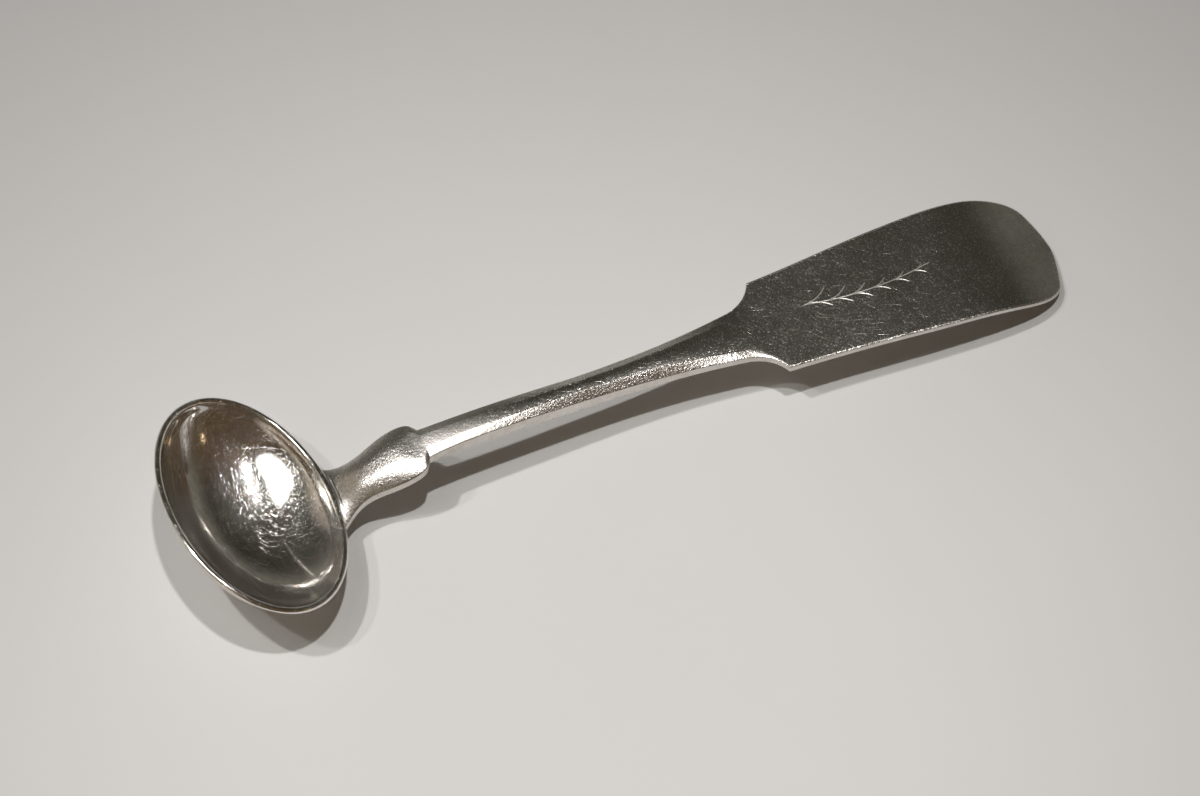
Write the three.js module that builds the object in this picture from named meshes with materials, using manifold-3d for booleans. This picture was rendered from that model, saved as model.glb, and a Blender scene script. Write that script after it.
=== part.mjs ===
// A salt spoon in the fiddle pattern, modelled as it lies on a table, in millimetres with +Z up.
// Z = 0 is the table, +X runs from the bowl to the tip of the handle, and the spoon is symmetric
// about Y = 0. The origin is the foot, the worn flat under the bowl's heel that the spoon rests on.
// It is made of a raised bowl, a forged handle and the silver solder between the two.
import * as THREE from "three";
import Module from "manifold-3d";

const { lerp, smoothstep, degToRad } = THREE.MathUtils;

const wasm = await Module();
wasm.setup();

// Bowl: an oval dish, a little wider than it is long
const BOWL_WIDTH = 22.5;
const BOWL_LENGTH = 16.1;
const BOWL_DEPTH = 5.4;
const BOWL_WALL = 0.45;
const BOWL_TILT = degToRad(24.5);
const LIP_RISE = 0.25;
const LIP_HALF_ANGLE = degToRad(24);
const LIP_SHARPNESS = 8;

// Joint: the root stands off the bowl by the solder film and a clearance on each side of it
const JOINT_CLEARANCE = 0.08;
const SOLDER_FILM = 0.2;
const SOLDER_FILLET = 0.2;

// Drop: the tongue of the handle that lies under the bowl's heel
const DROP_LENGTH = 8.4;
const DROP_WIDTH = 5.0;
const DROP_THICKNESS = 0.8;
const DROP_ROUNDING = 1.05;
const FOOT_WEAR = 0.04;

// Neck, from the rim to the notch behind the wings. Places are measured from the rim
const NECK_LENGTH = 8.2;
const NECK_HEIGHT = 6.35;
const ROOT_OVERLAP = 2.7;
const ROOT_DROP = 0.5;
const HEEL_DROP = 0.9;
const ROOT_WIDTH = 6.4;
const WAIST_WIDTH = 4.12;
const WAIST_PLACE = 2.3;
const WAIST_HEIGHT = 4.3;
const WING_WIDTH = 5.15;
const WING_PLACE = 6.1;
const WING_HEIGHT = 5.85;
const NOTCH_WIDTH = 2.95;
const ROOT_CROWN = 0.6;
const NECK_CROWN = 0.5;
const ROOT_SIDE = 0.7;
const WAIST_SIDE = 0.85;
const ROOT_BELLY = 0.95;
const WING_BELLY = 0.6;

// Stem, from the notch to the shoulders
const STEM_LENGTH = 31.8;
const STEM_WIDTH = 2.56;
const STEM_BEVEL = 0.6;
const STEM_CROWN = 0.5;
const STEM_SIDE = 1.25;
const STEM_BELLY = 0.35;
const CREST_HEIGHT = 6.6;
const CREST_PLACE = 5.0;
const FLARE_LENGTH = 2.7;
const FLARE_WIDTH = 4.9;

// Fiddle, from the shoulders to the tip, which turns down to the table
const FIDDLE_LENGTH = 27.1;
const FIDDLE_WIDTH = 11.85;
const SHOULDER_WIDTH = 9.25;
const SHOULDER_HEIGHT = 5.06;
const SHOULDER_SIDE = 0.7;
const FIDDLE_BEVEL = 0.3;
const FIDDLE_CROWN = 0.1;
const FIDDLE_BELLY = 0.07;
const TIP_SIDE = 0.45;
const TIP_CORNER = 6.8;
const TURN_LENGTH = 6.5;
const TURN_HEIGHT = 3.55;

// Steps of the curved surfaces
const BOWL_STEPS = 72;
const CAP_STEPS = 14;
const CURVE_STEPS = 14;

const jointGap = SOLDER_FILM + 2 * JOINT_CLEARANCE;

// Turns a closed three.js geometry into a manifold-3d solid.
function solidFrom(geometry) {
  const bare = geometry.index ? geometry.toNonIndexed() : geometry.clone();
  const corners = bare.getAttribute("position").array;
  const mesh = new wasm.Mesh({
    numProp: 3,
    vertProperties: new Float32Array(corners),
    triVerts: Uint32Array.from({ length: corners.length / 3 }, (_, i) => i),
  });
  mesh.merge();
  return new wasm.Manifold(mesh);
}

// Turns a manifold-3d solid back into a three.js geometry with flat normals.
function geometryFrom(solid) {
  const { numProp, vertProperties, triVerts } = solid.getMesh();
  const corners = [];
  for (const vertex of triVerts)
    corners.push(...vertProperties.subarray(vertex * numProp, vertex * numProp + 3));
  const geometry = new THREE.BufferGeometry();
  geometry.setAttribute("position", new THREE.Float32BufferAttribute(corners, 3));
  geometry.computeVertexNormals();
  return geometry;
}

// An oval dish's outer half-sizes and depth, moved outwards by grow.
function dishSize(grow) {
  const halfLength = BOWL_LENGTH / 2 + grow;
  const halfWidth = BOWL_WIDTH / 2 + grow;
  const depth = BOWL_DEPTH + grow;
  const sphere = (halfWidth ** 2 + depth ** 2) / (2 * depth);
  return { halfLength, halfWidth, depth, sphere };
}

// How far the dish lies below its rim plane at a share of the way from its axis to its rim.
function dishDepth({ halfWidth, depth, sphere }, share) {
  return Math.sqrt(sphere ** 2 - (halfWidth * share) ** 2) - (sphere - depth);
}

// The lowest point of a tilted dish, seen from the centre of its rim.
function dishFoot(dish) {
  const slope = Math.tan(BOWL_TILT) * (dish.halfLength / dish.halfWidth);
  const share = Math.min(1, (dish.sphere * Math.sin(Math.atan(slope))) / dish.halfWidth);
  const along = share * dish.halfLength;
  const below = dishDepth(dish, share);
  return {
    x: along * Math.cos(BOWL_TILT) - below * Math.sin(BOWL_TILT),
    z: -along * Math.sin(BOWL_TILT) - below * Math.cos(BOWL_TILT),
  };
}

// The rim's centre is set so that the drop's lowest point, less its wear, is the origin
const dropDish = dishSize(jointGap + DROP_THICKNESS);
const foot = dishFoot(dropDish);
const rimX = -foot.x;
const rimZ = -foot.z - FOOT_WEAR;

// The root is where the rim's handle side ends, and the other stations of the handle follow from it
const rootX = rimX + (BOWL_LENGTH / 2) * Math.cos(BOWL_TILT);
const rootZ = rimZ - (BOWL_LENGTH / 2) * Math.sin(BOWL_TILT);
const notchX = rootX + NECK_LENGTH;
const shoulderX = notchX + STEM_LENGTH;
const tipX = shoulderX + FIDDLE_LENGTH;

// High enough above the rim to clear all that stands over it
const mouth = NECK_HEIGHT + BOWL_LENGTH;

// The rim is drawn up a little where it meets the root.
function lipRise(angle) {
  const share = Math.min(1, Math.abs(angle) / LIP_HALF_ANGLE);
  return LIP_RISE * Math.cos((share * Math.PI) / 2) ** 2;
}

// Turns a profile into an oval dish in its place. Each point is [share, height, inset, plumb]: its
// share of the rim's half-sizes less the inset, its height over the rim plane, and how far it is
// then raised plumb. With a lip, the points near the rim rise with it too.
function ovalDish(profile, withLip) {
  const points = profile.map(([share, height]) => new THREE.Vector2(share, height));
  const geometry = new THREE.LatheGeometry(points, BOWL_STEPS);
  const position = geometry.getAttribute("position");
  for (let i = 0; i < position.count; i++) {
    const [share, height, inset, plumb] = profile[i % profile.length];
    const angle = Math.atan2(-position.getZ(i), position.getX(i));
    const rise = plumb + (withLip ? lipRise(angle) * share ** LIP_SHARPNESS : 0);
    position.setXYZ(
      i,
      share * Math.cos(angle) * (BOWL_LENGTH / 2 - inset) - rise * Math.sin(BOWL_TILT),
      share * Math.sin(angle) * (BOWL_WIDTH / 2 - inset),
      height + rise * Math.cos(BOWL_TILT),
    );
  }
  geometry.rotateY(BOWL_TILT);
  geometry.translate(rimX, 0, rimZ);
  return geometry;
}

// The curved part of a dish, from its bottom to its rim, moved outwards by grow.
function capProfile(grow) {
  const dish = dishSize(grow);
  const profile = [];
  for (let step = 0; step <= CAP_STEPS; step++) {
    const share = Math.sin((step / CAP_STEPS) * (Math.PI / 2));
    profile.push([share, -dishDepth(dish, share), -grow, 0]);
  }
  return profile;
}

// The space that a dish fills, up to its rim plane or with its mouth raised plumb above that.
function dishSolid(grow, withLip, mouth) {
  const profile = [...capProfile(grow), [1, 0, -grow, mouth], [0, 0, 0, mouth]];
  return solidFrom(ovalDish(profile, withLip));
}

// Bowl: the outside up to the rim, half a round over the edge, and the inside back down
function bowlGeometry() {
  const edge = [30, 60, 90, 120, 150].map((degrees) => {
    const angle = degToRad(degrees);
    const round = BOWL_WALL / 2;
    return [1, round * Math.sin(angle), round * (1 - Math.cos(angle)), 0];
  });
  return ovalDish([...capProfile(0), ...edge, ...capProfile(-BOWL_WALL).reverse()], true);
}

// A smooth line through [x, value] points.
function smoothLine(points) {
  const places = Float32Array.from(points, ([x]) => x);
  const values = Float32Array.from(points, ([, value]) => value);
  const line = new THREE.CubicInterpolant(places, values, 1);
  return (x) => line.evaluate(x)[0];
}

// The height of the handle's long edges, from under the rim to the tip
const tipEdge = TIP_SIDE + FIDDLE_BELLY;
const edgeHeight = smoothLine([
  [rootX - ROOT_OVERLAP, rootZ - HEEL_DROP],
  [rootX, rootZ - ROOT_DROP],
  [rootX + WAIST_PLACE, WAIST_HEIGHT],
  [rootX + WING_PLACE, WING_HEIGHT],
  [notchX, NECK_HEIGHT],
  [notchX + CREST_PLACE, CREST_HEIGHT],
  [lerp(notchX, shoulderX, 0.5), lerp(CREST_HEIGHT, SHOULDER_HEIGHT, 0.5)],
  [shoulderX, SHOULDER_HEIGHT],
  [lerp(shoulderX, tipX, 0.45), lerp(SHOULDER_HEIGHT, TURN_HEIGHT, 0.27)],
  [tipX - TURN_LENGTH, TURN_HEIGHT],
  [tipX, tipEdge],
]);

// The height of the handle's side walls, and how far its back bellies out below them
const sideHeight = smoothLine([
  [rootX - ROOT_OVERLAP, ROOT_SIDE],
  [rootX + WAIST_PLACE, WAIST_SIDE],
  [rootX + WING_PLACE, WAIST_SIDE],
  [notchX + CREST_PLACE, STEM_SIDE],
  [shoulderX, SHOULDER_SIDE],
  [tipX, TIP_SIDE],
]);
const belly = smoothLine([
  [rootX - ROOT_OVERLAP, ROOT_BELLY],
  [rootX + WING_PLACE, WING_BELLY],
  [notchX + CREST_PLACE, STEM_BELLY],
  [shoulderX, FIDDLE_BELLY],
  [tipX, FIDDLE_BELLY],
]);

// How far the top crowns up between the edges, and how wide the bevel is that leads up to it
function crown(x) {
  const neck = lerp(ROOT_CROWN, NECK_CROWN, smoothstep(x, rootX, rootX + WAIST_PLACE));
  const stem = lerp(neck, STEM_CROWN, smoothstep(x, rootX + WING_PLACE, notchX + CREST_PLACE));
  return lerp(stem, FIDDLE_CROWN, smoothstep(x, shoulderX - 4 * FLARE_LENGTH, shoulderX));
}

function bevelWidth(x, halfWidth) {
  const flat = smoothstep(x, rootX + WING_PLACE, notchX + CREST_PLACE);
  const stem = lerp(0.85 * halfWidth, STEM_BEVEL, flat);
  return lerp(stem, FIDDLE_BEVEL, smoothstep(x, shoulderX - FLARE_LENGTH, shoulderX));
}

// The outline of the handle on its +Y side, from under the bowl to the tip, as points of x and
// half-width: the root's flare, the waist, the wing, the notch, the stem, the shoulder, the fiddle
function handleOutline() {
  const [waistX, wingX] = [rootX + WAIST_PLACE, rootX + WING_PLACE];
  const [waist, wing, stem] = [WAIST_WIDTH / 2, WING_WIDTH / 2, STEM_WIDTH / 2];
  const [drop, root] = [DROP_WIDTH / 2, ROOT_WIDTH / 2];
  const [flareX, middleX] = [shoulderX - FLARE_LENGTH, notchX + 0.4 * STEM_LENGTH];
  const [cornerX, fiddle] = [tipX - TIP_CORNER, FIDDLE_WIDTH / 2];
  const outline = new THREE.Path();
  outline.moveTo(rootX - ROOT_OVERLAP, 0.9 * drop);
  outline.bezierCurveTo(rootX - 1.3, drop, rootX - 1.3, root, rootX - 0.4, root);
  outline.bezierCurveTo(rootX + 0.2, root, waistX - 1.6, waist, waistX, waist);
  outline.bezierCurveTo(waistX + 1.2, waist, wingX - 1.5, wing, wingX, wing);
  outline.quadraticCurveTo(notchX - 0.7, wing, notchX - 0.35, lerp(NOTCH_WIDTH / 2, wing, 0.45));
  outline.lineTo(notchX, NOTCH_WIDTH / 2);
  outline.bezierCurveTo(notchX + 1.3, stem, middleX - 6, stem, middleX, stem);
  outline.bezierCurveTo(middleX + 8, stem, flareX - 3.7, FLARE_WIDTH / 2 - 0.6, flareX, FLARE_WIDTH / 2);
  outline.bezierCurveTo(
    flareX + FLARE_LENGTH / 2,
    lerp(FLARE_WIDTH, SHOULDER_WIDTH, 0.17) / 2,
    shoulderX - FLARE_LENGTH / 5,
    lerp(FLARE_WIDTH, SHOULDER_WIDTH, 0.47) / 2,
    shoulderX,
    SHOULDER_WIDTH / 2,
  );
  outline.bezierCurveTo(
    lerp(shoulderX, cornerX, 0.35),
    lerp(SHOULDER_WIDTH, FIDDLE_WIDTH, 0.27) / 2,
    lerp(shoulderX, cornerX, 0.67),
    fiddle,
    cornerX,
    fiddle,
  );
  outline.bezierCurveTo(tipX - 3.5, fiddle, tipX - 1.4, 0.89 * fiddle, tipX - 0.85, 0.64 * fiddle);
  outline.bezierCurveTo(tipX - 0.4, 0.43 * fiddle, tipX, 0.21 * fiddle, tipX, 0);
  return outline.getPoints(CURVE_STEPS).slice(0, -1);
}

// One cross-section of the handle, as a loop of [y, z] points from the top centre by the +Y side
// to the bottom centre and back. All its faces are moved outwards by grow.
function handleSection(x, outlineHalfWidth, grow) {
  const halfWidth = outlineHalfWidth + grow;
  const edge = edgeHeight(x);
  const bevel = bevelWidth(x, outlineHalfWidth);
  const under = edge - sideHeight(x);
  const top = [0, halfWidth - bevel, halfWidth - 0.6 * bevel, halfWidth - 0.3 * bevel, halfWidth];
  const bottom = [halfWidth, 0.8 * halfWidth, 0.45 * halfWidth, 0];
  const half = [
    ...top.map((y) => {
      const share = Math.max(0, y - (halfWidth - bevel)) / bevel;
      return [y, edge + grow + crown(x) * (1 - share ** 2)];
    }),
    ...bottom.map((y) => {
      const height = under - belly(x) * (1 - (y / halfWidth) ** 2);
      return [y, Math.max(height, 0) - grow];
    }),
  ];
  const mirrored = half.slice(1, -1).map(([y, z]) => [-y, z]);
  return [...half, ...mirrored.reverse()];
}

// How far the rim's edge has curved back at y. The root's sections curve back with it.
function rimSag(y) {
  return (BOWL_LENGTH / 2) * Math.cos(BOWL_TILT) * (1 - Math.sqrt(1 - (y / (BOWL_WIDTH / 2)) ** 2));
}

function handleStation(x, halfWidth, grow) {
  const share = 1 - smoothstep(x, rootX, rootX + WAIST_PLACE);
  return handleSection(x, halfWidth, grow).map(([y, z]) => [x - share * rimSag(y), y, z]);
}

// The handle without its drop: cross-sections joined into a skin, and closed by a fan at each end.
function handleSkin(grow) {
  const loops = handleOutline().map(({ x, y }) => handleStation(x, y, grow));
  const size = loops[0].length;
  const corners = loops.flat(2);
  const faces = [];
  for (let station = 1; station < loops.length; station++) {
    for (let i = 0; i < size; i++) {
      const [a, b] = [(station - 1) * size + i, (station - 1) * size + ((i + 1) % size)];
      faces.push(a, a + size, b, b, a + size, b + size);
    }
  }
  const last = (loops.length - 1) * size;
  for (let i = 1; i < size - 1; i++) {
    faces.push(0, i, i + 1);
    faces.push(last, last + i + 1, last + i);
  }
  const geometry = new THREE.BufferGeometry();
  geometry.setAttribute("position", new THREE.Float32BufferAttribute(corners, 3));
  geometry.setIndex(faces);
  return solidFrom(geometry);
}

// The drop: a flattened capsule that lies along the heel, no thicker than a dish round the bowl.
function dropSolid(grow) {
  const half = DROP_WIDTH / 2 + grow;
  const middle = rootX - DROP_LENGTH / 2;
  const keel = dropDish.sphere * (dropDish.halfLength / dropDish.halfWidth) ** 2;
  const lean = Math.asin(-middle / keel);
  const heelZ = DROP_THICKNESS + middle ** 2 / (2 * keel);
  const capsule = new THREE.CapsuleGeometry(half, DROP_LENGTH - DROP_WIDTH, CURVE_STEPS, 4 * CURVE_STEPS);
  capsule.rotateZ(Math.PI / 2);
  capsule.scale(1, 1, (DROP_ROUNDING + grow) / half);
  capsule.rotateY(lean);
  capsule.translate(middle, 0, heelZ);
  return dishSolid(jointGap + DROP_THICKNESS, false, 0).intersect(solidFrom(capsule));
}

// Handle: the skin and the drop as one forging, cut back from the bowl and worn flat at the foot
function handleGeometry() {
  const forging = handleSkin(0).add(dropSolid(0)).subtract(dishSolid(jointGap, true, mouth));
  return geometryFrom(forging.trimByPlane([0, 0, 1], 0));
}

// Solder: the film between the bowl and the root, standing out as a fillet all round the joint
function solderGeometry() {
  const outside = dishSolid(JOINT_CLEARANCE + SOLDER_FILM, true, mouth);
  const film = outside.subtract(dishSolid(JOINT_CLEARANCE, true, mouth));
  return geometryFrom(film.intersect(handleSkin(SOLDER_FILLET).add(dropSolid(SOLDER_FILLET))));
}

function silver(color, roughness) {
  return new THREE.MeshStandardMaterial({ color, roughness, metalness: 1 });
}

function piece(name, geometry, material) {
  const mesh = new THREE.Mesh(geometry, material);
  mesh.name = name;
  return mesh;
}

const spoon = new THREE.Group();
spoon.add(
  piece("bowl", bowlGeometry(), silver(0xc9c6c0, 0.22)),
  piece("handle", handleGeometry(), silver(0xc4c2bd, 0.2)),
  piece("solder_seam", solderGeometry(), silver(0xa9a69e, 0.4)),
);

export default spoon;
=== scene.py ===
# %% [markdown]
# A silver salt spoon in the fiddle pattern, lying on a pale table. It rests on the round of its
# bowl and on the tip of its handle. This lesson rebuilds it from three pieces, as a silversmith
# would: a bowl raised from sheet, a forged handle, and the solder between them. Each shape comes
# from a few measured sizes, and each finish is worked out from how silver wears in use.

# %% Load the frame
import math

import bmesh
import bpy
from mathutils import Matrix, Vector


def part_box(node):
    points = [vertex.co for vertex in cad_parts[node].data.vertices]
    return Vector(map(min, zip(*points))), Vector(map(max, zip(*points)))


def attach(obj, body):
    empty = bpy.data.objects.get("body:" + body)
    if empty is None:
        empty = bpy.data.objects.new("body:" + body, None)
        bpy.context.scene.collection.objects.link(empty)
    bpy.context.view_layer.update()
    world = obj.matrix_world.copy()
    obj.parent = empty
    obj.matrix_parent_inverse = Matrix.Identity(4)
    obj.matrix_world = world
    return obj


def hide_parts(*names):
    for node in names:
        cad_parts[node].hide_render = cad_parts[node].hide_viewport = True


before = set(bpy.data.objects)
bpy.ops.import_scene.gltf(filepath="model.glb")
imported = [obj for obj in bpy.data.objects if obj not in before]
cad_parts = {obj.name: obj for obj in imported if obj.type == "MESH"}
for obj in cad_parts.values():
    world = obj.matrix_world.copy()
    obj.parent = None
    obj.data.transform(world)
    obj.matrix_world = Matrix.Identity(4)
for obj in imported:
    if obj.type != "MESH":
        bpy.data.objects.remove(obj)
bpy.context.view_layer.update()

# %% [markdown]
# The sizes are in millimetres, as on a bench drawing. Height is measured from the table, length
# from the worn foot under the bowl towards the tip of the handle. Every curve below is drawn from
# these numbers, so a change here carries through to the mesh.

# %% Sizes of the bowl, the joint and the drop
MM = 0.001
BOWL_WIDTH, BOWL_LENGTH, BOWL_DEPTH, BOWL_WALL = 22.5, 16.1, 5.4, 0.45
BOWL_TILT = math.radians(24.5)
LIP_RISE, LIP_HALF_ANGLE, LIP_SHARPNESS = 0.25, math.radians(24), 8
BEAD_SWELL, BEAD_REACH = 0.16, 0.45
JOINT_CLEARANCE, SOLDER_FILM, SOLDER_FILLET = 0.08, 0.2, 0.2
DROP_LENGTH, DROP_WIDTH, DROP_THICKNESS, DROP_ROUNDING = 8.4, 5.0, 0.8, 1.05
FOOT_WEAR = 0.04

# %% Sizes of the neck, the stem and the fiddle
NECK_LENGTH, NECK_HEIGHT = 8.2, 6.35
ROOT_OVERLAP, ROOT_DROP, HEEL_DROP, ROOT_WIDTH = 2.7, 0.5, 0.9, 6.4
WAIST_WIDTH, WAIST_PLACE, WAIST_HEIGHT = 4.12, 2.3, 4.3
WING_WIDTH, WING_PLACE, WING_HEIGHT, NOTCH_WIDTH = 5.15, 6.1, 5.85, 2.95
ROOT_CROWN, NECK_CROWN, NOTCH_CROWN, STEM_CROWN, FIDDLE_CROWN = 0.7, 0.7, 0.28, 0.5, 0.1
ROOT_SIDE, WAIST_SIDE, STEM_SIDE, SHOULDER_SIDE, TIP_SIDE = 0.7, 0.85, 1.25, 0.7, 0.45
ROOT_BELLY, WING_BELLY, STEM_BELLY, FIDDLE_BELLY = 0.95, 0.6, 0.35, 0.07
STEM_LENGTH, STEM_WIDTH, STEM_BEVEL, FIDDLE_BEVEL = 31.8, 2.56, 0.82, 0.3
CREST_HEIGHT, CREST_PLACE = 6.6, 5.0
FLARE_LENGTH, FLARE_WIDTH = 2.7, 4.9
FIDDLE_LENGTH, FIDDLE_WIDTH, SHOULDER_WIDTH, SHOULDER_HEIGHT = 27.1, 11.85, 9.25, 5.06
TIP_CORNER, TURN_LENGTH, TURN_HEIGHT = 6.8, 6.5, 3.55

# %% Fineness of the mesh, and how round a polished edge is
BOWL_STEPS, CAP_STEPS, CURVE_STEPS = 216, 42, 42
ARRIS_ROUND = 0.13
joint_gap = SOLDER_FILM + 2 * JOINT_CLEARANCE
print("the drop stays", round(joint_gap, 2), "mm below the bowl")

# %% [markdown]
# A mesh of this kind is a loft: a row of loops with equally many points, joined by a skin of
# quads. A bowl, a capsule and a forged bar can all be lofted, so one helper makes them all. Loops
# that shrink to a point are welded, and an open end is closed with one face.

# %% A helper that lofts loops of points into a closed mesh
SAME_SPOT = 1e-7


def lofted(name, loops):
    bm = bmesh.new()
    rings = [[bm.verts.new(Vector(point) * MM) for point in loop] for loop in loops]
    for one, two in zip(rings, rings[1:]):
        for i in range(len(one)):
            j = (i + 1) % len(one)
            bm.faces.new((one[i], one[j], two[j], two[i]))
    for end in (rings[0], rings[-1]):
        if (end[0].co - end[len(end) // 2].co).length > 10 * SAME_SPOT:
            bm.faces.new(end)
    bmesh.ops.remove_doubles(bm, verts=bm.verts, dist=SAME_SPOT)
    bmesh.ops.recalc_face_normals(bm, faces=bm.faces)
    mesh = bpy.data.meshes.new(name)
    bm.to_mesh(mesh)
    bm.free()
    piece = bpy.data.objects.new(name, mesh)
    bpy.context.collection.objects.link(piece)
    return piece


# %% A helper that joins two pieces, cuts one with the other, or keeps what they share
def shaped(piece, tool, operation):
    step = piece.modifiers.new(operation, "BOOLEAN")
    step.operation, step.solver, step.object = operation, "EXACT", tool
    graph = bpy.context.evaluated_depsgraph_get()
    made = bpy.data.meshes.new_from_object(piece.evaluated_get(graph))
    piece.modifiers.clear()
    before, piece.data = piece.data, made
    bpy.data.meshes.remove(before)
    bpy.data.meshes.remove(tool.data)
    return piece


# %% A helper that shades a piece smooth, with its real arrises left crisp
def polished(piece, crease):
    for face in piece.data.polygons:
        face.use_smooth = True
    piece.data.set_sharp_from_angle(angle=math.radians(crease))
    print(piece.name, "has", len(piece.data.polygons), "faces")


# %% [markdown]
# The bowl is part of a ball, drawn out to an oval and tipped towards the handle. The smith raises
# it from a disc of sheet, so it is equally thick all over, and planishes its edge to a soft round
# with a slight bead inside. Here its cross-section is a line of points that starts at the bottom
# outside, goes over the rim and the bead and comes back to the bottom inside. Turning that line
# round the axis gives the bowl.

# %% The dish: how deep it is anywhere, and its lowest point when it is tipped
def dish_size(grow):
    half_length, half_width = BOWL_LENGTH / 2 + grow, BOWL_WIDTH / 2 + grow
    depth = BOWL_DEPTH + grow
    return half_length, half_width, depth, (half_width**2 + depth**2) / (2 * depth)


def dish_depth(dish, share):
    _, half_width, depth, ball = dish
    return math.sqrt(ball**2 - (half_width * share) ** 2) - (ball - depth)


def dish_foot(dish):
    half_length, half_width, _, ball = dish
    slope = math.tan(BOWL_TILT) * half_length / half_width
    share = min(1, ball * math.sin(math.atan(slope)) / half_width)
    along, below = share * half_length, dish_depth(dish, share)
    return (
        along * math.cos(BOWL_TILT) - below * math.sin(BOWL_TILT),
        -along * math.sin(BOWL_TILT) - below * math.cos(BOWL_TILT),
    )


# %% Stations along the spoon that follow from the dish
drop_dish = dish_size(joint_gap + DROP_THICKNESS)
foot_x, foot_z = dish_foot(drop_dish)
rim_x, rim_z = -foot_x, -foot_z - FOOT_WEAR
root_x = rim_x + BOWL_LENGTH / 2 * math.cos(BOWL_TILT)
root_z = rim_z - BOWL_LENGTH / 2 * math.sin(BOWL_TILT)
notch_x = root_x + NECK_LENGTH
shoulder_x = notch_x + STEM_LENGTH
tip_x = shoulder_x + FIDDLE_LENGTH
mouth = NECK_HEIGHT + BOWL_LENGTH
print("rim", round(rim_x, 2), "root", round(root_x, 2), "notch", round(notch_x, 2),
      "shoulders", round(shoulder_x, 2), "tip", round(tip_x, 2))


# %% The oval dish as loops of points, tipped into its place
def lip_rise(angle):
    share = min(1, abs(math.remainder(angle, 2 * math.pi)) / LIP_HALF_ANGLE)
    return LIP_RISE * math.cos(share * math.pi / 2) ** 2


def dish_point(share, height, inset, plumb, angle, with_lip):
    rise = plumb + (lip_rise(angle) * share**LIP_SHARPNESS if with_lip else 0)
    x = share * math.cos(angle) * (BOWL_LENGTH / 2 - inset) - rise * math.sin(BOWL_TILT)
    y = share * math.sin(angle) * (BOWL_WIDTH / 2 - inset)
    z = height + rise * math.cos(BOWL_TILT)
    tipped = Matrix.Rotation(BOWL_TILT, 3, "Y") @ Vector((x, y, z))
    return tipped + Vector((rim_x, 0, rim_z))


def oval_dish(profile, with_lip):
    angles = [2 * math.pi * step / BOWL_STEPS for step in range(BOWL_STEPS)]
    return [[dish_point(*spot, angle, with_lip) for angle in angles] for spot in profile]


def cap_profile(grow):
    dish = dish_size(grow)
    shares = [math.sin(step / CAP_STEPS * math.pi / 2) for step in range(CAP_STEPS + 1)]
    return [(share, -dish_depth(dish, share), -grow, 0) for share in shares]


def dish_block(grow, with_lip, mouth):
    profile = [*cap_profile(grow), (1, 0, -grow, mouth), (0, 0, 0, mouth)]
    return lofted("dish", oval_dish(profile, with_lip))


# %% The bowl itself
RIM_STEPS = 12
rim_round = (BOWL_WALL + BEAD_SWELL) / 2


def beaded(share, height, inset, plumb):
    aside = (1 - share) * BOWL_WIDTH / 2 / BEAD_REACH
    return share, height, inset + BEAD_SWELL * math.exp(-(aside**2)), plumb


rim_edge = [
    (1, rim_round * math.sin(turn), rim_round * (1 - math.cos(turn)), 0)
    for turn in (math.pi * step / RIM_STEPS for step in range(1, RIM_STEPS))
]
hollow = [beaded(*spot) for spot in reversed(cap_profile(-BOWL_WALL))]
bowl = lofted("silver_bowl", oval_dish([*cap_profile(0), *rim_edge, *hollow], True))
polished(bowl, crease=60)

# %% [markdown]
# The handle is one forging. Seen from above, its outline flares at the root, narrows to a waist,
# spreads into two small wings, steps in to the stem and widens at square shoulders into the
# fiddle. Seen from the side, its edge climbs steeply from the bowl and falls slowly to the tip.
# Both are smooth curves, so the handle is lofted from a cross-section at every point of them.

# %% A smooth line through measured points: each span is a cubic that heeds its neighbours
def smooth_line(points):
    xs, values = [x for x, _ in points], [value for _, value in points]

    def height(x):
        x = min(max(x, xs[0]), xs[-1])
        i = next(k for k in range(1, len(xs)) if x <= xs[k])
        last = i == len(xs) - 1
        x0, x1 = xs[i - 1], xs[i]
        before = (xs[i], values[i]) if i == 1 else (xs[i - 2], values[i - 2])
        after = (xs[i - 1], values[i - 1]) if last else (xs[i + 1], values[i + 1])
        early = (x1 - x0) / 2 / (x0 - before[0])
        late = (x1 - x0) / 2 / (after[0] - x1)
        t = (x - x0) / (x1 - x0)
        start = (1 + early) * t**3 - (1.5 + 2 * early) * t**2 + (early - 0.5) * t + 1
        end = -(1 + late) * t**3 + (1.5 + late) * t**2 + 0.5 * t
        return (
            (-early * t**3 + 2 * early * t**2 - early * t) * before[1]
            + start * values[i - 1]
            + end * values[i]
            + (late * t**3 - late * t**2) * after[1]
        )

    return height


def lerp(a, b, share):
    return a + (b - a) * share


def eased(x, start, end):
    share = min(1, max(0, (x - start) / (end - start)))
    return share * share * (3 - 2 * share)


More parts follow.
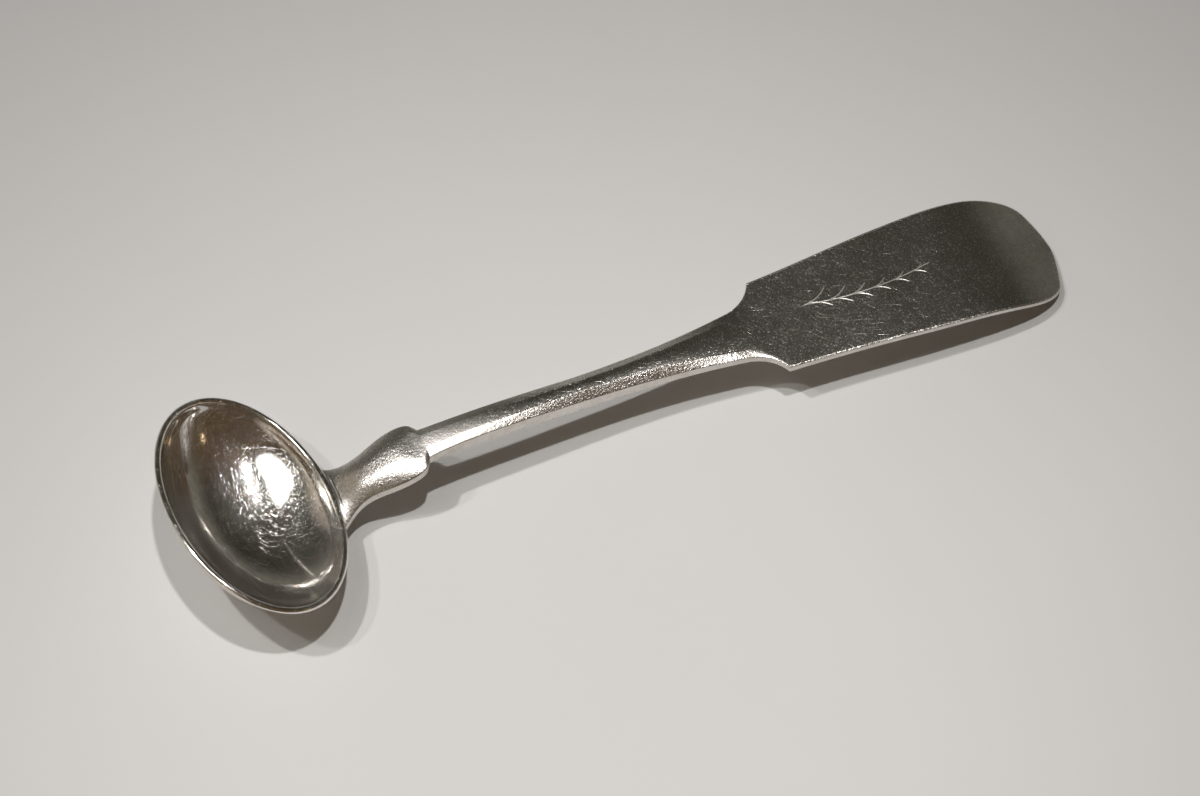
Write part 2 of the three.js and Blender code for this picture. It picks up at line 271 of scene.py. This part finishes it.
# %% The side view: the long edges, the side walls and the back
edge_height = smooth_line([
    (root_x - ROOT_OVERLAP, root_z - HEEL_DROP),
    (root_x, root_z - ROOT_DROP),
    (root_x + WAIST_PLACE, WAIST_HEIGHT),
    (root_x + WING_PLACE, WING_HEIGHT),
    (notch_x, NECK_HEIGHT),
    (notch_x + CREST_PLACE, CREST_HEIGHT),
    (lerp(notch_x, shoulder_x, 0.5), lerp(CREST_HEIGHT, SHOULDER_HEIGHT, 0.5)),
    (shoulder_x, SHOULDER_HEIGHT),
    (lerp(shoulder_x, tip_x, 0.45), lerp(SHOULDER_HEIGHT, TURN_HEIGHT, 0.27)),
    (tip_x - TURN_LENGTH, TURN_HEIGHT),
    (tip_x, TIP_SIDE + FIDDLE_BELLY),
])
side_height = smooth_line([
    (root_x - ROOT_OVERLAP, ROOT_SIDE),
    (root_x + WAIST_PLACE, WAIST_SIDE),
    (root_x + WING_PLACE, WAIST_SIDE),
    (notch_x + CREST_PLACE, STEM_SIDE),
    (shoulder_x, SHOULDER_SIDE),
    (tip_x, TIP_SIDE),
])
belly = smooth_line([
    (root_x - ROOT_OVERLAP, ROOT_BELLY),
    (root_x + WING_PLACE, WING_BELLY),
    (notch_x + CREST_PLACE, STEM_BELLY),
    (shoulder_x, FIDDLE_BELLY),
    (tip_x, FIDDLE_BELLY),
])
print("edge at the notch, the shoulders and the tip:",
      [round(edge_height(x), 2) for x in (notch_x, shoulder_x, tip_x)])


# %% How the top swells between its edges, and how its bevels are shaped
NECK_ROUND, CREST_ROUND, STEM_ROUND, FIDDLE_ROUND = 2, 1.3, 1.05, 2
NECK_BEVEL_SHARE = 0.85


def crown(x):
    neck = lerp(ROOT_CROWN, NECK_CROWN, eased(x, root_x, root_x + WAIST_PLACE))
    notch = lerp(neck, NOTCH_CROWN, eased(x, root_x + WING_PLACE - 1, notch_x))
    stem = lerp(notch, STEM_CROWN, eased(x, notch_x + CREST_PLACE, notch_x + 3 * CREST_PLACE))
    return lerp(stem, FIDDLE_CROWN, eased(x, shoulder_x - 4 * FLARE_LENGTH, shoulder_x))


def crown_roundness(x):
    on_stem = eased(x, notch_x + CREST_PLACE, notch_x + 3 * CREST_PLACE)
    stem = lerp(CREST_ROUND, STEM_ROUND, on_stem)
    bar = lerp(NECK_ROUND, stem, eased(x, root_x + WING_PLACE, notch_x))
    return lerp(bar, FIDDLE_ROUND, eased(x, shoulder_x - FLARE_LENGTH, shoulder_x))


def bevel_width(x, half_width):
    flat = eased(x, root_x + WING_PLACE, notch_x)
    bar = lerp(NECK_BEVEL_SHARE * half_width, STEM_BEVEL, flat)
    return lerp(bar, FIDDLE_BEVEL, eased(x, shoulder_x - FLARE_LENGTH, shoulder_x))


# %% The plan: curves from the root to the tip, on one side of the middle line
def curve(*points):
    ends = [Vector(point) for point in points]
    spots = []
    for step in range(1, CURVE_STEPS + 1):
        t, row = step / CURVE_STEPS, ends
        while len(row) > 1:
            row = [a.lerp(b, t) for a, b in zip(row, row[1:])]
        spots.append(row[0])
    return spots


def handle_outline():
    waist_x, wing_x = root_x + WAIST_PLACE, root_x + WING_PLACE
    waist, wing, stem = WAIST_WIDTH / 2, WING_WIDTH / 2, STEM_WIDTH / 2
    drop, root, notch = DROP_WIDTH / 2, ROOT_WIDTH / 2, NOTCH_WIDTH / 2
    flare_x, middle_x = shoulder_x - FLARE_LENGTH, notch_x + 0.4 * STEM_LENGTH
    corner_x, fiddle = tip_x - TIP_CORNER, FIDDLE_WIDTH / 2
    flare, shoulder = FLARE_WIDTH / 2, SHOULDER_WIDTH / 2
    step_in = (notch_x - 0.35, lerp(notch, wing, 0.45))
    start = (root_x - ROOT_OVERLAP, 0.9 * drop)
    # each run is one curve: its ends lie on the outline, and the points between pull it their way
    runs = [
        [start, (root_x - 1.3, drop), (root_x - 1.3, root), (root_x - 0.4, root)],
        [(root_x - 0.4, root), (root_x + 0.2, root), (waist_x - 1.6, waist), (waist_x, waist)],
        [(waist_x, waist), (waist_x + 1.2, waist), (wing_x - 1.5, wing), (wing_x, wing)],
        [(wing_x, wing), (notch_x - 0.7, wing), step_in],
        [step_in, (notch_x, notch)],
        [(notch_x, notch), (notch_x + 1.3, stem), (middle_x - 6, stem), (middle_x, stem)],
        [(middle_x, stem), (middle_x + 8, stem), (flare_x - 3.7, flare - 0.6), (flare_x, flare)],
        [(flare_x, flare), (flare_x + FLARE_LENGTH / 2, lerp(flare, shoulder, 0.17)),
         (shoulder_x - FLARE_LENGTH / 5, lerp(flare, shoulder, 0.47)), (shoulder_x, shoulder)],
        [(shoulder_x, shoulder), (lerp(shoulder_x, corner_x, 0.35), lerp(shoulder, fiddle, 0.27)),
         (lerp(shoulder_x, corner_x, 0.67), fiddle), (corner_x, fiddle)],
        [(corner_x, fiddle), (tip_x - 3.5, fiddle), (tip_x - 1.4, 0.89 * fiddle),
         (tip_x - 0.85, 0.64 * fiddle)],
        [(tip_x - 0.85, 0.64 * fiddle), (tip_x - 0.4, 0.43 * fiddle),
         (tip_x, 0.21 * fiddle), (tip_x, 0)],
    ]
    return [Vector(start), *(spot for run in runs for spot in curve(*run))][:-1]


# %% One cross-section, with its arrises eased by polishing
SECTION_STEPS, ARRIS_SHARE = 8, 0.3


def eased_corner(before, corner, after, reach):
    start = corner + (before - corner).normalized() * min(reach, (before - corner).length / 2)
    end = corner + (after - corner).normalized() * min(reach, (after - corner).length / 2)
    return [
        start.lerp(corner, t).lerp(corner.lerp(end, t), t) for t in (0, 0.25, 0.5, 0.75, 1)
    ]


def handle_section(x, outline_half, grow):
    half_width, edge = outline_half + grow, edge_height(x)
    bevel, under = bevel_width(x, outline_half), edge - side_height(x)
    roundness = crown_roundness(x)

    def top(y):
        share = max(0, y - (half_width - bevel)) / bevel
        return Vector((y, edge + grow + crown(x) * (1 - share**roundness)))

    def back(y):
        height = under - belly(x) * (1 - (y / half_width) ** 2)
        return Vector((y, max(height, 0) - grow))

    shares = [step / SECTION_STEPS for step in range(SECTION_STEPS)]
    crest = [top(0), *(top(half_width - bevel * (1 - share)) for share in shares)]
    base = [back(half_width * (1 - share)) for share in [*shares, 1]]
    high, low = top(half_width), base[0]
    reach = min(ARRIS_ROUND, ARRIS_SHARE * half_width)
    half = [
        *crest,
        *eased_corner(crest[-1], high, low, reach),
        *eased_corner(high, low, base[1], reach),
        *base[1:],
    ]
    return [*half, *(Vector((-y, z)) for y, z in reversed(half[1:-1]))]


def rim_sag(y):
    half_length = BOWL_LENGTH / 2 * math.cos(BOWL_TILT)
    return half_length * (1 - math.sqrt(1 - (y / (BOWL_WIDTH / 2)) ** 2))


def handle_station(x, half_width, grow):
    share = 1 - eased(x, root_x, root_x + WAIST_PLACE)
    return [(x - share * rim_sag(y), y, z) for y, z in handle_section(x, half_width, grow)]


def handle_skin(grow):
    return lofted("skin", [handle_station(x, y, grow) for x, y in handle_outline()])


# %% [markdown]
# Under the bowl the handle ends in a drop, a flattened tongue that lies along the heel and carries
# the joint. It is a capsule squeezed flat and leaned with the bowl. Boolean steps then do what the
# file and the hammer do: the drop is kept no thicker than the real one, joined to the skin, and
# the bowl's own shape, a solder film larger, is cut away so that the two meet with even clearance.

# %% The drop under the heel
DROP_STEPS = 96


def drop_block(grow):
    half_length, half_width, _, ball = drop_dish
    half, keel = DROP_WIDTH / 2 + grow, ball * (half_length / half_width) ** 2
    middle, straight = root_x - DROP_LENGTH / 2, (DROP_LENGTH - DROP_WIDTH) / 2
    heel_z = DROP_THICKNESS + middle**2 / (2 * keel)
    flat = Matrix.Diagonal((1, 1, (DROP_ROUNDING + grow) / half))
    lean = Matrix.Rotation(math.asin(-middle / keel), 3, "Y")
    loops = []
    for step in range(2 * CURVE_STEPS + 1):
        turn = math.pi * step / (2 * CURVE_STEPS)
        shift = -straight if step < CURVE_STEPS else straight
        x, radius = shift - half * math.cos(turn), half * math.sin(turn)
        loops.append([
            lean @ flat @ Vector((x, radius * math.cos(a), radius * math.sin(a)))
            + Vector((middle, 0, heel_z))
            for a in (2 * math.pi * i / DROP_STEPS for i in range(DROP_STEPS))
        ])
    drop = lofted("drop", loops)
    return shaped(drop, dish_block(joint_gap + DROP_THICKNESS, False, 0), "INTERSECT")


# %% The handle, joined, cut back from the bowl and worn flat at the foot
handle = handle_skin(0)
handle.name = "forged_handle"
shaped(handle, drop_block(0), "UNION")
shaped(handle, dish_block(joint_gap, True, mouth), "DIFFERENCE")
bm = bmesh.new()
bm.from_mesh(handle.data)
everything = [*bm.verts, *bm.edges, *bm.faces]
bmesh.ops.bisect_plane(
    bm, geom=everything, dist=SAME_SPOT / 10,
    plane_co=(0, 0, 0), plane_no=(0, 0, 1), clear_inner=True
)
bmesh.ops.holes_fill(bm, edges=[edge for edge in bm.edges if edge.is_boundary])
bm.to_mesh(handle.data)
bm.free()
polished(handle, crease=32)

# %% [markdown]
# Silver solder runs into the joint by itself and leaves a thin bright fillet round the root. Its
# solid is the film between the two dishes, trimmed to the root's outline plus the fillet.

# %% The solder seam
seam = dish_block(JOINT_CLEARANCE + SOLDER_FILM, True, mouth)
seam.name = "solder_fillet"
shaped(seam, dish_block(JOINT_CLEARANCE, True, mouth), "DIFFERENCE")
around = handle_skin(SOLDER_FILLET)
shaped(around, drop_block(SOLDER_FILLET), "UNION")
shaped(seam, around, "INTERSECT")
polished(seam, crease=40)

# %% [markdown]
# The three pieces stand for the three solids, so each replaces its own and moves with the same
# body.
# A piece may not reach past its solid, so any point that lies outside the solid's box is moved
# back onto it, and the step prints how far outside it lay.

# %% Keep every point inside the solid model's box
def kept_inside(piece, node):
    low, high = (Vector(corner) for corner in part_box(node))
    moved = 0
    for vertex in piece.data.vertices:
        inside = Vector(min(max(v, a), b) for v, a, b in zip(vertex.co, low, high))
        moved = max(moved, (inside - vertex.co).length)
        vertex.co = inside
    print(piece.name, "was at most", round(moved / MM, 4), "mm outside its solid")


for piece, node in ((bowl, "bowl"), (handle, "handle"), (seam, "solder_seam")):
    kept_inside(piece, node)
    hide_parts(node)
    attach(piece, "root")

# %% [markdown]
# A finish is worked out as sums on values that vary over the surface. The class below wraps the
# socket such a value comes from, so that an expression like 1 - mask * 0.5 adds the Math nodes.
# Its node method adds any other node, from its type, its settings and what its sockets hold.

# %% A small class for shader maths
class Flow:
    def __init__(self, tree, socket=None):
        self.tree, self.socket = tree, socket

    def node(self, kind, settings=None, inputs=None, out=0):
        made = self.tree.nodes.new(kind)
        for name, value in (settings or {}).items():
            setattr(made, name, value)
        for name, value in (inputs or {}).items():
            if isinstance(value, Flow):
                self.tree.links.new(value.socket, made.inputs[name])
            else:
                made.inputs[name].default_value = value
        return Flow(self.tree, made.outputs[out])

    def math(self, operation, *values):
        return self.node("ShaderNodeMath", {"operation": operation}, dict(enumerate(values)))

    def __add__(self, other):
        return self.math("ADD", self, other)

    def __sub__(self, other):
        return self.math("SUBTRACT", self, other)

    def __rsub__(self, other):
        return self.math("SUBTRACT", other, self)

    def __mul__(self, other):
        return self.math("MULTIPLY", self, other)

    __radd__, __rmul__ = __add__, __mul__

    def between(self, low, high):
        inputs = {"Value": self, "From Min": low, "From Max": high}
        return self.node("ShaderNodeMapRange", {"interpolation_type": "SMOOTHSTEP"}, inputs)

    def mixed(self, first, second):
        inputs = {0: self, 6: first, 7: second}
        return self.node("ShaderNodeMix", {"data_type": "RGBA"}, inputs, 2)

    def parts(self):
        split = self.node("ShaderNodeSeparateXYZ", None, {"Vector": self}).socket.node
        return [Flow(self.tree, socket) for socket in split.outputs]


def new_material(name):
    material = bpy.data.materials.new(name)
    material.use_nodes = True
    shader = material.node_tree.nodes["Principled BSDF"]
    return material, Flow(material.node_tree), shader


def plugged(flow, shader, **values):
    for name, value in values.items():
        flow.tree.links.new(value.socket, shader.inputs[name.replace("_", " ")])


def place_in_mm(flow):
    place = flow.node("ShaderNodeTexCoord", out=3)
    return flow.node("ShaderNodeVectorMath", {"operation": "SCALE"}, {0: place, "Scale": 1 / MM})


# %% [markdown]
# Silver in use is never a perfect mirror. Every wipe leaves hair-fine scratches in all
# directions, and the hollow of the bowl collects the most. A scratch is a long thin grain: noise
# stretched far along one direction, of which only the peaks are kept. The metal between the
# scratches is still bright, so a lamp shows as a sharp spot, and the scratches spread a haze of
# short streaks round it.

# %% Fine scratches along one direction, and plain noise, both in millimetres
SCRATCH_EDGE, SCRATCH_PEAK, SCRATCH_WAVER = 0.65, 0.75, 0.2


def scratches(flow, place, turn, length, width):
    turned = flow.node("ShaderNodeVectorRotate", {"rotation_type": "EULER_XYZ"},
                       {"Vector": place, "Rotation": turn})
    stretched = flow.node("ShaderNodeVectorMath", {"operation": "MULTIPLY"},
                          {0: turned, 1: (1 / length, 1 / width, 1 / width)})
    inputs = {"Vector": stretched, "Scale": 1.0, "Detail": 1.0, "Distortion": SCRATCH_WAVER}
    return flow.node("ShaderNodeTexNoise", None, inputs).between(SCRATCH_EDGE, SCRATCH_PEAK)


def noise(flow, place, per_mm, detail=2.0, roughness=0.5):
    inputs = {"Vector": place, "Scale": per_mm, "Detail": detail, "Roughness": roughness}
    return flow.node("ShaderNodeTexNoise", None, inputs)


# %% [markdown]
# What differs from piece to piece is told by a small function each. It returns how dull the metal
# is, how much it is rubbed, and how deep any dent in it is, in units of the relief below. Lean is
# how far the surface turns aside, so it finds the arrises, and up is how far it faces up. The bowl
# has one flat left by the planishing hammer, too shallow to see but for the lamp that it mirrors a
# little higher than its surroundings do.

# %% What is special to the bowl: one flat hammer mark
RELIEF = 0.005
BOWL_DULL = 0.07
MARK_X, MARK_Y, MARK_REACH, MARK_SLOPE = 0.35, 5.6, 2.0, 0.119


def bowl_wear(flow, x, y, lean, up):
    aside, along = x - MARK_X, y - MARK_Y
    near = flow.math("EXPONENT", (aside * aside + along * along) * (-0.5 / MARK_REACH**2))
    return BOWL_DULL, 0.0, (-MARK_SLOPE / RELIEF) * along * near


# %% [markdown]
# A spoon of this pattern may carry a small engraved ornament on the flat of the fiddle. Here it is
# a plain fern sprig: a bent stalk with six pairs of leaves that grow smaller towards its end. An
# engraver pushes each line in one sweep, so each is an arc, part of a circle round a middle that
# lies off to its side. Nodes work out how far a point is from that circle, and the nearest points
# are in the cut, which is about a hundredth of a millimetre deep, fine enough for the finish.

# %% A fern sprig cut into the fiddle: the middle and radius of each arc, the way to it, its reach
SPRIG_X, SPRIG_LENGTH, SPRIG_BEND = 56.0, 12.0, 26.0
LEAF_PAIRS, LEAF_SIZE, LEAF_SHRINK, LEAF_START = 6, 3.0, 0.1, 2.9
CUT_EDGE, CUT_FLOOR, CUT_END = 0.075, 0.025, 0.08
leaf_turn = math.radians(66)
CUTS = [(SPRIG_X, SPRIG_BEND, SPRIG_BEND, -math.pi / 2, SPRIG_LENGTH / 2 / SPRIG_BEND)]
for step in range(LEAF_PAIRS):
    leaf_x = SPRIG_X + (step - LEAF_START) / LEAF_PAIRS * SPRIG_LENGTH
    stalk_y = SPRIG_BEND - math.sqrt(SPRIG_BEND**2 - (leaf_x - SPRIG_X) ** 2)
    leaf = LEAF_SIZE * (1 - LEAF_SHRINK * step)
    CUTS += [(leaf_x, stalk_y + s * leaf, leaf, -s * leaf_turn, math.pi / 2 - leaf_turn)
             for s in (1, -1)]
print("the sprig has", len(CUTS), "cuts")


def sprig(flow, x, y):
    cut = 0.0
    for middle_x, middle_y, radius, toward, reach in CUTS:
        dx, dy = x - middle_x, y - middle_y
        away = flow.math("ABSOLUTE", flow.math("SQRT", dx * dx + dy * dy) - radius)
        end = radius * math.cos(reach)
        on = (dx * math.cos(toward) + dy * math.sin(toward)).between(end, end + CUT_END)
        cut = flow.math("MAXIMUM", away.between(CUT_EDGE, CUT_FLOOR) * on, cut)
    return cut


# %% What is special to the handle: a duller notch, speckled arrises and the sprig
HANDLE_DULL, NECK_DULL, NOTCH_DULL, CUT_DULL, CUT_DEPTH = 0.18, 0.03, 0.14, 0.2, 3.0
ARRIS_RUB, NECK_RUB = 0.8, 0.45
print("x runs over the neck to", round(notch_x, 1), "mm, then over the stem and the fiddle")


def handle_wear(flow, x, y, lean, up):
    dull = HANDLE_DULL + NECK_DULL * x.between(30.0, 12.0)
    dull = dull + NOTCH_DULL * x.between(25.0, 15.0) * x.between(13.0, 15.5)
    cut = sprig(flow, x, y) * up.between(0.5, 0.8)
    arris = lean.between(0.12, 0.35) * lean.between(0.97, 0.85) * x.between(15.0, 25.0)
    rubbed = flow.math("MAXIMUM", ARRIS_RUB * arris, NECK_RUB * x.between(25.0, 12.0))
    return dull + CUT_DULL * cut, rubbed, -CUT_DEPTH * cut


# %% What is special to the seam: it is duller, and nothing else
SEAM_DULL = 0.28


def seam_wear(flow, x, y, lean, up):
    return SEAM_DULL, 0.0, 0.0


# %% [markdown]
# The three pieces share one silver. Hair scratches lie over it in five directions, three of long
# ones and two of short. Pits are specks about a tenth of a millimetre across that old silver is
# full of, with a finer speckle between them. The polishing cloth leaves a fine grain, which stands
# highest where the metal is rubbed, and breaks the light there into glints. Tarnish that the cloth
# missed stays as a wide faint cloud and as a mottle of patches a millimetre across, a little
# browner and duller. Each mark is one pattern of noise, and sums of them give the colour, the
# dullness and the relief.

# %% How much each mark darkens the silver, dulls it, and stands up from it or sinks into it
CLOUD_CLEAN, MOTTLE_CLEAN, PIT_CLEAN, HAIR_CLEAN = 0.3, 0.35, 0.15, 0.2
MOTTLE_DULL, HAIR_DULL, RUB_DULL, PIT_DULL, SPECKLE_DULL = 0.03, 0.11, 0.05, 0.14, 0.06
HAIR_RISE, PIT_SINK, GRAIN_RISE, RUB_RISE = 1.8, 0.5, 0.05, 14.0

# %% How long and wide the scratches are, in millimetres, and which way they are turned
LONG_HAIR, SHORT_HAIR = (3.2, 0.12), (1.4, 0.1)
long_turns = [(0.3 * i, 0.7 * i, 0.35 + 1.15 * i) for i in range(3)]
short_turns = [(0.5 * i, 0.4 * i, 0.9 + 1.6 * i) for i in range(2)]
print("scratches lie in", len(long_turns) + len(short_turns), "directions")

# %% Each pattern's grains in a millimetre, detail and roughness, then the part of it that shows
GRAIN = (4.0, 3.0, 0.7)
PITS, SPECKLE = ((6.5, 1.0, 0.5), (0.56, 0.78)), ((9.0, 2.0, 0.5), (0.35, 0.65))
MOTTLE, CLOUD = ((1.3, 4.0, 0.65), (0.36, 0.64)), ((0.3, 4.0, 0.6), (0.38, 0.68))


def patches(flow, place, pattern, shown):
    return noise(flow, place, *pattern).between(*shown)


# %% The silver finish shared by the three pieces
def silver(name, base, tarnish, worn, pitted, own_wear):
    material, flow, shader = new_material(name)
    place = place_in_mm(flow)
    x, y, _ = place.parts()
    _, lean, up = flow.node("ShaderNodeTexCoord", out=1).parts()
    dull, rubbed, dent = own_wear(flow, x, y, flow.math("ABSOLUTE", lean), up)
    long_hair = sum(scratches(flow, place, turn, *LONG_HAIR) for turn in long_turns)
    short_hair = sum(scratches(flow, place, turn, *SHORT_HAIR) for turn in short_turns)
    hair = flow.math("MINIMUM", long_hair + short_hair, 1.0)
    pits, speckle = (patches(flow, place, *kind) * pitted for kind in (PITS, SPECKLE))
    mottle, cloud = (patches(flow, place, *kind) for kind in (MOTTLE, CLOUD))
    grain = noise(flow, place, *GRAIN)
    clean = (
        CLOUD_CLEAN * cloud + MOTTLE_CLEAN * mottle
        + PIT_CLEAN * (1 - pits) + HAIR_CLEAN * (1 - hair)
    )
    rough = (
        dull + MOTTLE_DULL * (1 - mottle) + HAIR_DULL * worn * hair + RUB_DULL * rubbed
        + PIT_DULL * pits + SPECKLE_DULL * speckle
    )
    relief = (
        HAIR_RISE * worn * hair - PIT_SINK * pits + GRAIN_RISE * grain + RUB_RISE * rubbed * grain
    )
    color = clean.mixed((*tarnish, 1), (*base, 1))
    bump = flow.node("ShaderNodeBump", None,
                     {"Height": relief + dent, "Strength": 1.0, "Distance": RELIEF * MM})
    shader.inputs["Metallic"].default_value = 1.0
    plugged(flow, shader, Base_Color=color, Roughness=rough, Normal=bump)
    return material


# %% Each piece in its own metal and tarnish, with how worn and how pitted it is; the handle's silver is painted darker as shade
for piece, base, tarnish, worn, pitted, own_wear in (
    (bowl, (0.92, 0.905, 0.88), (0.66, 0.61, 0.545), 1.0, 0.2, bowl_wear),
    # The handle's metal and tarnish are a darker copy of the bowl's silver: painted shade that
    # dims its reflections.
    (handle, (0.74, 0.72, 0.69), (0.52, 0.48, 0.43), 0.35, 1.0, handle_wear),
    (seam, (0.72, 0.70, 0.66), (0.55, 0.53, 0.49), 0.6, 0.5, seam_wear),
):
    piece.data.materials.clear()
    piece.data.materials.append(
        silver(piece.name + "_finish", base, tarnish, worn, pitted, own_wear)
    )
    print(piece.name, "is finished in", piece.data.materials[0].name)

# %% [markdown]
# The table is a pale, slightly warm sheet of coated board. It has hardly any grain, so a faint
# mottle in its colour is enough. A pool of light is also painted into its colour: it is painted
# palest in front of the spoon and greyer away from there, as the light falls off, so its tone
# follows the distance from one point.

# %% The table
BOARD_HALF, BOARD_RELIEF, BOARD_EMBOSS = 0.6, 0.02, 0.15
BOARD_MOTTLE, BOARD_DULL, BOARD_GRAIN = 0.06, 0.55, 0.1
# The painted pool of light: its lit and its dim colour, its middle, and where it starts and stops
# fading.
PAINTED_LIT_BOARD, PAINTED_DIM_BOARD = (0.70, 0.697, 0.69, 1), (0.30, 0.299, 0.295, 1)
PAINTED_POOL_MIDDLE, PAINTED_POOL_TO, PAINTED_DIM_FROM = (18.0, -26.0, 0.0), 15.0, 130.0
board = bpy.data.meshes.new("table_board")
bm = bmesh.new()
bmesh.ops.create_grid(bm, x_segments=8, y_segments=8, size=BOARD_HALF)
bm.to_mesh(board)
bm.free()
table = bpy.data.objects.new("table_board", board)
bpy.context.collection.objects.link(table)
material, flow, shader = new_material("pale_board")
place = place_in_mm(flow)
mottle, grain = noise(flow, place, 0.05, 4.0, 0.6), noise(flow, place, 1.6)
# Painted light: the colour goes from the painted pool of light to a painted grey with distance,
# plus a faint real mottle.
painted_pool_spread = flow.node("ShaderNodeVectorMath", {"operation": "DISTANCE"},
                   {0: place, 1: PAINTED_POOL_MIDDLE}, 1)
painted_falloff_and_mottle = painted_pool_spread.between(PAINTED_POOL_TO, PAINTED_DIM_FROM) + BOARD_MOTTLE * (mottle - 0.5)
bump = flow.node("ShaderNodeBump", None,
                 {"Height": grain, "Strength": BOARD_EMBOSS, "Distance": BOARD_RELIEF * MM})
plugged(flow, shader, Base_Color=painted_falloff_and_mottle.mixed(PAINTED_LIT_BOARD, PAINTED_DIM_BOARD),
        Roughness=BOARD_DULL + BOARD_GRAIN * grain, Normal=bump)
board.materials.append(material)
print("the table is", tuple(table.dimensions), "metres")

# %% [markdown]
# The light is that of a quiet room with small lamps overhead. Three of them throw the crisp
# shadows on the table and show as bright spots in the hollow of the bowl. A wide soft lamp beside
# the second one fills in. Each lamp's share is the part of the table's brightness that it gives,
# and its place is a slope: how far it stands aside for each metre that it stands up.

# %% The lamps
LAMP_DISTANCE, LAMP_COLOR = 1.2, (1.0, 0.98, 0.965)


def lamp(name, slope_x, slope_y, share, width):
    light = bpy.data.lights.new(name, "AREA")
    light.shape, light.size = "DISK", width
    away = Vector((slope_x, slope_y, 1)).normalized()
    light.energy = share * math.pi**2 * LAMP_DISTANCE**2 / away.z
    light.color = LAMP_COLOR
    stand = bpy.data.objects.new(name, light)
    stand.location = away * LAMP_DISTANCE
    stand.rotation_euler = away.to_track_quat("Z", "Y").to_euler()
    bpy.context.collection.objects.link(stand)
    print(name, "stands at", tuple(round(v, 3) for v in stand.location))


for name, slope_x, slope_y, share, width in (
    ("first_lamp", 0.0614, -0.0668, 0.40, 0.045),
    ("second_lamp", -0.3459, 0.1433, 0.27, 0.045),
    ("third_lamp", -0.5771, 0.1299, 0.10, 0.045),
    ("soft_lamp", -0.35, 0.03, 0.09, 0.5),
):
    lamp(name, slope_x, slope_y, share, width)

# %% [markdown]
# The silver mirrors the room, so the room matters as much as the lamps. It is dim all round and
# lighter towards the floor. On the viewer's side it is brown, with one small warm lamp far off,
# and beyond the bowl stands a pale wall. A narrow upright strip of light makes the fine curved
# line low in the bowl. All of it is drawn from the direction in which a ray leaves: across, deep
# and high are the three parts of that direction.

# %% The colours of the room, and where its strip of light and its one small lamp are
CEILING, LOW_ROOM = (0.036, 0.033, 0.026, 1), (0.178, 0.172, 0.143, 1)
BROWN_SIDE, PALE_WALL = (0.078, 0.051, 0.026, 1), (0.42, 0.36, 0.285, 1)
LIGHT_STRIP, WARM_LAMP = (0.9, 0.84, 0.74, 1), (3.2, 2.3, 1.4, 1)
WARM_LAMP_WAY, WARM_LAMP_EDGE, WARM_LAMP_CORE = (0.795, -0.530, 0.292), 0.9975, 0.9992
STRIP_ACROSS, STRIP_DEEP, STRIP_EDGE, STRIP_CORE = 0.997, 0.078, 0.012, 0.006
BROWN_SHARE = 0.9

# %% The dim room round the table
room = bpy.data.worlds.new("dim_room")
room.use_nodes = True
bpy.context.scene.world = room
flow = Flow(room.node_tree)
gaze = flow.node("ShaderNodeTexCoord", out=0)
across, deep, high = gaze.parts()
light = high.between(0.5, 0.0).mixed(CEILING, LOW_ROOM)
light = (deep.between(0.05, -0.4) * BROWN_SHARE).mixed(light, BROWN_SIDE)
wall = across.between(-0.5, -0.8) * high.between(0.8, 0.45)
light = wall.mixed(light, PALE_WALL)
aside = flow.math("ABSOLUTE", across * STRIP_ACROSS + deep * STRIP_DEEP)
strip = aside.between(STRIP_EDGE, STRIP_CORE) * deep.between(0.1, 0.2) * high.between(0.15, 0.25)
light = (strip * high.between(0.85, 0.3)).mixed(light, LIGHT_STRIP)
toward = flow.node("ShaderNodeVectorMath", {"operation": "DOT_PRODUCT"},
                   {0: gaze, 1: WARM_LAMP_WAY}, 1)
light = toward.between(WARM_LAMP_EDGE, WARM_LAMP_CORE).mixed(light, WARM_LAMP)
air = room.node_tree.nodes["Background"]
flow.tree.links.new(light.socket, air.inputs["Color"])
print("the room is lit by", len(room.node_tree.nodes), "nodes")

# %% [markdown]
# The camera looks down at the spoon from in front, a little to the bowl's side. Its place is in
# millimetres from the worn foot. Two angles give the way it looks: a turn to the right and a dip
# below level. Its focal length is given in pixels of a frame that is 1200 pixels wide, so the lens
# is that share of the sensor's width.

# %% The camera
CAMERA_PLACE = (-63.432, -220.132, 401.984)
CAMERA_TURN, CAMERA_DIP = 23.1805, 59.0132
LENS_PIXELS, FRAME_PIXELS, SENSOR_WIDTH = 5454.93, 1200, 36
eye = bpy.data.cameras.new("camera")
eye.sensor_width = SENSOR_WIDTH
eye.lens = LENS_PIXELS / FRAME_PIXELS * eye.sensor_width
eye.clip_start, eye.clip_end = 0.005, 10
camera = bpy.data.objects.new("camera", eye)
bpy.context.collection.objects.link(camera)
turn, dip = math.radians(CAMERA_TURN), math.radians(CAMERA_DIP)
sight = Vector((math.cos(dip) * math.sin(turn), math.cos(dip) * math.cos(turn), -math.sin(dip)))
camera.rotation_mode = "QUATERNION"
camera.location = Vector(CAMERA_PLACE) * MM
camera.rotation_quaternion = sight.to_track_quat("-Z", "Y")
bpy.context.scene.camera = camera
bpy.context.scene.view_settings.view_transform = "Standard"
print("lens", eye.lens, "mm")
